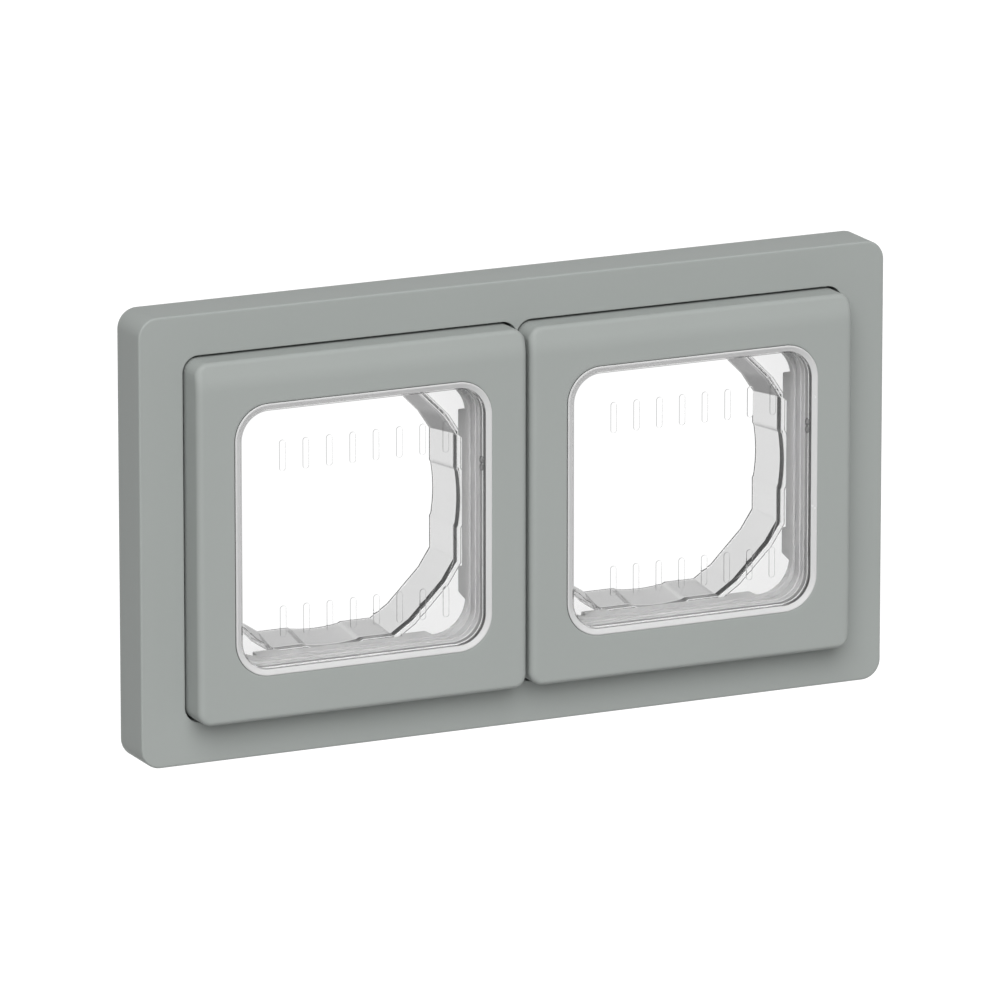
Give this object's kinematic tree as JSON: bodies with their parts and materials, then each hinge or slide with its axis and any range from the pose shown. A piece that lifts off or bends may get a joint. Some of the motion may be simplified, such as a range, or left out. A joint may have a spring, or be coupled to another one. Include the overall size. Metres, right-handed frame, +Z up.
{
  "type": "rocker switch cover frame",
  "caption": "Grey splash-proof wall frame with two raised covers, each holding a clear ribbed rocker membrane and a clear scalloped sealing collar behind it.",
  "frame": {"origin": "centre of the rear face that lies on the wall, midway between the two gangs", "axes": "+Z up, front faces -Y, +X to the right seen from the front"},
  "size_m": [0.1606, 0.0245, 0.0898],
  "materials": {
    "cover_grey": "smooth satin grey moulding",
    "inner_grey": "satin neutral grey moulding",
    "clear_membrane": "clear flexible plastic, glossy",
    "clear_collar": "clear soft seal, faintly grey",
    "seal_rubber": "dark matt seal"
  },
  "bodies": {
    "cover_frame": {"outer_frame": "cover_grey", "wall_gasket": "seal_rubber", "left_cover": "cover_grey", "left_cover_seal": "seal_rubber", "left_membrane_rim": "clear_membrane", "left_retainer": "inner_grey", "left_sealing_collar": "clear_collar", "right_cover": "cover_grey", "right_cover_seal": "seal_rubber", "right_membrane_rim": "clear_membrane", "right_retainer": "inner_grey", "right_sealing_collar": "clear_collar"},
    "left_pane": {"left_membrane_pane": "clear_membrane"},
    "right_pane": {"right_membrane_pane": "clear_membrane"}
  },
  "joints": [
    {"name": "left_pane_rock", "type": "hinge", "parent": "cover_frame", "child": "left_pane", "pos_m": [-0.0355, -0.0159, 0], "axis": [1, 0, 0], "range_deg": [-3, 3], "stiffness_Nm_per_rad": 0.9},
    {"name": "right_pane_rock", "type": "hinge", "parent": "cover_frame", "child": "right_pane", "pos_m": [0.0355, -0.0159, 0], "axis": [1, 0, 0], "range_deg": [-3, 3], "stiffness_Nm_per_rad": 0.9}
  ]
}
